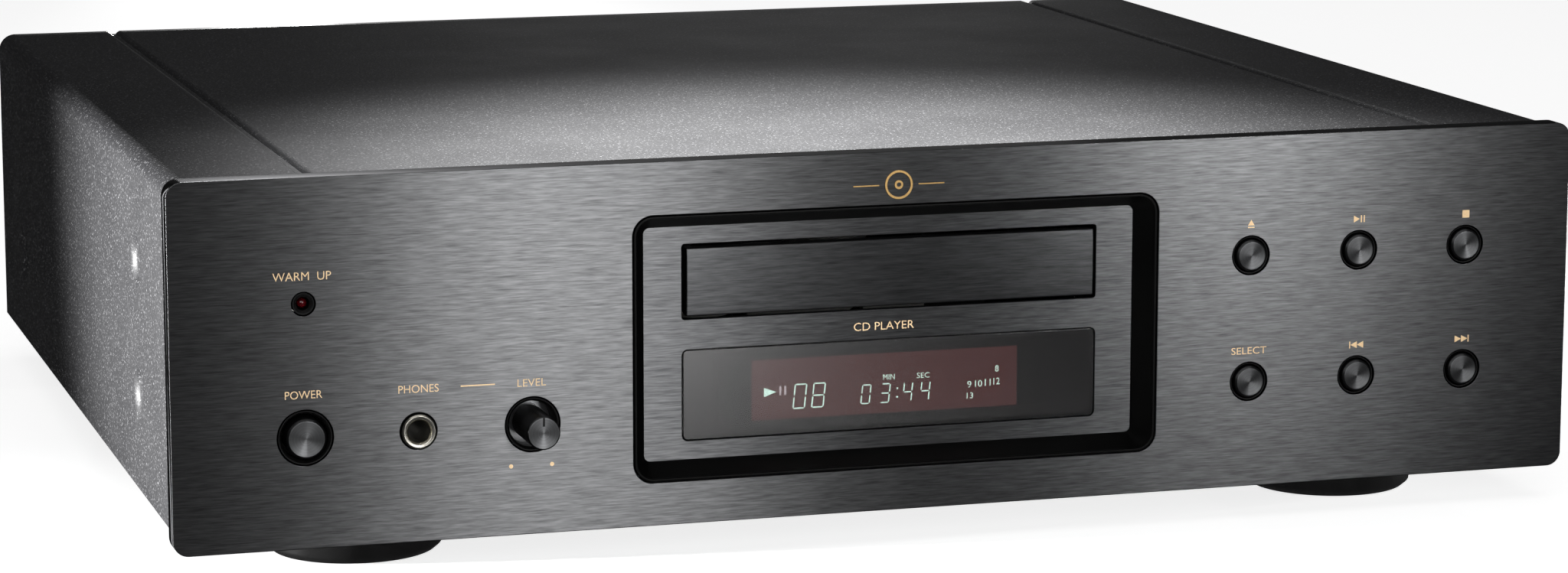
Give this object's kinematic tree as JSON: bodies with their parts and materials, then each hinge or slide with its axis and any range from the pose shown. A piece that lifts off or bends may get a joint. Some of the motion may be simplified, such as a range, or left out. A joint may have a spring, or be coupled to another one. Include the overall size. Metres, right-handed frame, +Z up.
{
  "type": "cd player",
  "caption": "Full-width hi-fi compact disc player with brushed front panel, motorised disc tray, display window, push buttons, headphone socket and level knob.",
  "frame": {"origin": "on the surface the feet stand on, under the middle of the overall width and depth", "axes": "+X to the right seen from the front, +Y towards the rear panel, +Z up; the front panel faces -Y"},
  "size_m": [0.43, 0.394, 0.1168],
  "materials": {
    "panel_aluminium": "black anodised, brushed along its width",
    "plate_aluminium": "dark anodised, brushed along its width",
    "black_trim": "satin black moulding",
    "spun_controls": "black anodised, spun faces",
    "smoked_acrylic": "smoked, polished",
    "display_glass": "fluorescent display envelope",
    "circuit_board": "green solder mask",
    "zinc_sheet": "zinc plated sheet",
    "cover_coating": "fine textured satin black powder coat",
    "nickel_plate": "nickel plated",
    "lamp_red": "tinted clear lens",
    "foot_black": "gloss black moulding",
    "white_plastic": "natural moulded acetal",
    "belt_rubber": "moulded rubber",
    "amber_winding": "taped winding",
    "tube_glass": "clear glass envelope"
  },
  "bodies": {
    "chassis": {"front_panel": "panel_aluminium", "window_frame": "black_trim", "center_plate": "plate_aluminium", "display_window": "smoked_acrylic", "display_module": "display_glass", "front_board": "circuit_board", "sub_front": "zinc_sheet", "button_guide": "black_trim", "power_bezel": "black_trim", "power_switch": "black_trim", "level_bezel": "black_trim", "level_pot": "zinc_sheet", "headphone_jack": "nickel_plate", "lamp_holder": "black_trim", "warm_up_lamp": "lamp_red", "chassis_base": "zinc_sheet", "rear_panel": "cover_coating", "top_cover": "cover_coating", "cover_screw_left_1": "nickel_plate", "cover_screw_left_2": "nickel_plate", "cover_screw_left_3": "nickel_plate", "cover_screw_right_1": "nickel_plate", "cover_screw_right_2": "nickel_plate", "cover_screw_right_3": "nickel_plate", "foot_front_left": "foot_black", "foot_rear_left": "foot_black", "foot_front_right": "foot_black", "foot_rear_right": "foot_black", "loader_frame": "black_trim", "clamp_bridge": "zinc_sheet", "loading_motor": "nickel_plate", "drive_belt": "belt_rubber", "power_transformer": "amber_winding", "power_board": "circuit_board", "main_board": "circuit_board", "tube_left": "tube_glass", "tube_right": "tube_glass", "mains_inlet": "black_trim", "analog_jacks": "nickel_plate", "digital_jacks": "nickel_plate"},
    "tray": {"disc_tray": "black_trim", "tray_door": "plate_aluminium"},
    "loading_gear": {"loading_gear": "white_plastic"},
    "motor_pulley": {"motor_pulley": "white_plastic"},
    "lift_cam": {"lift_cam": "white_plastic"},
    "clamp_puck": {"clamp_puck": "white_plastic"},
    "traverse": {"traverse_frame": "black_trim", "spindle_motor": "nickel_plate", "guide_rod": "nickel_plate"},
    "turntable": {"turntable": "black_trim"},
    "pickup_sled": {"pickup_sled": "zinc_sheet"},
    "feed_gear": {"feed_gear": "white_plastic"},
    "button_eject": {"button_eject": "spun_controls"},
    "button_play_pause": {"button_play_pause": "spun_controls"},
    "button_stop": {"button_stop": "spun_controls"},
    "button_select": {"button_select": "spun_controls"},
    "button_previous": {"button_previous": "spun_controls"},
    "button_next": {"button_next": "spun_controls"},
    "power_button": {"power_button": "spun_controls"},
    "level_knob": {"level_knob": "spun_controls"}
  },
  "joints": [
    {"name": "tray_slide", "type": "slide", "parent": "chassis", "child": "tray", "axis": [0, -1, 0], "range_m": [0, 0.138]},
    {"name": "loading_gear_spin", "type": "hinge", "parent": "chassis", "child": "loading_gear", "pos_m": [-0.05185, -0.14745, 0.065], "axis": [0, 0, 1], "range_deg": [0, 1320]},
    {"name": "motor_pulley_spin", "type": "hinge", "parent": "chassis", "child": "motor_pulley", "pos_m": [-0.051, -0.10745, 0.065], "axis": [0, 0, 1], "range_deg": [0, 4400]},
    {"name": "traverse_tilt", "type": "hinge", "parent": "chassis", "child": "traverse", "pos_m": [0, -0.01345, 0.058], "axis": [1, 0, 0], "range_deg": [0, 5]},
    {"name": "lift_cam_slide", "type": "slide", "parent": "chassis", "child": "lift_cam", "axis": [1, 0, 0], "range_m": [0, 0.018]},
    {"name": "turntable_spin", "type": "hinge", "parent": "traverse", "child": "turntable", "pos_m": [0, -0.10745, 0.07], "axis": [0, 0, -1], "continuous": true},
    {"name": "clamp_spin", "type": "hinge", "parent": "chassis", "child": "clamp_puck", "pos_m": [0, -0.10745, 0.083], "axis": [0, 0, -1], "continuous": true},
    {"name": "sled_slide", "type": "slide", "parent": "traverse", "child": "pickup_sled", "axis": [0, 1, 0], "range_m": [0, 0.033]},
    {"name": "feed_gear_spin", "type": "hinge", "parent": "traverse", "child": "feed_gear", "pos_m": [0.0332, -0.06145, 0.065], "axis": [0, 0, 1], "range_deg": [-272, 0]},
    {"name": "eject_press", "type": "slide", "parent": "chassis", "child": "button_eject", "axis": [0, 1, 0], "range_m": [0, 0.001], "stiffness_N_per_m": 800},
    {"name": "play_pause_press", "type": "slide", "parent": "chassis", "child": "button_play_pause", "axis": [0, 1, 0], "range_m": [0, 0.001], "stiffness_N_per_m": 800},
    {"name": "stop_press", "type": "slide", "parent": "chassis", "child": "button_stop", "axis": [0, 1, 0], "range_m": [0, 0.001], "stiffness_N_per_m": 800},
    {"name": "select_press", "type": "slide", "parent": "chassis", "child": "button_select", "axis": [0, 1, 0], "range_m": [0, 0.001], "stiffness_N_per_m": 800},
    {"name": "previous_press", "type": "slide", "parent": "chassis", "child": "button_previous", "axis": [0, 1, 0], "range_m": [0, 0.001], "stiffness_N_per_m": 800},
    {"name": "next_press", "type": "slide", "parent": "chassis", "child": "button_next", "axis": [0, 1, 0], "range_m": [0, 0.001], "stiffness_N_per_m": 800},
    {"name": "power_press", "type": "slide", "parent": "chassis", "child": "power_button", "axis": [0, 1, 0], "range_m": [0, 0.003], "stiffness_N_per_m": 800},
    {"name": "level_turn", "type": "hinge", "parent": "chassis", "child": "level_knob", "pos_m": [-0.1108, -0.18345, 0.04225], "axis": [0, 1, 0], "range_deg": [-150, 150]}
  ],
  "couplings": [
    {"joint": "loading_gear_spin", "follows": "tray_slide", "rad_per_m": 166.67},
    {"joint": "motor_pulley_spin", "follows": "tray_slide", "rad_per_m": 555.56},
    {"joint": "lift_cam_slide", "follows": "traverse_tilt", "m_per_rad": 0.2062},
    {"joint": "clamp_spin", "follows": "turntable_spin", "ratio": 1},
    {"joint": "feed_gear_spin", "follows": "sled_slide", "rad_per_m": -142.86}
  ]
}
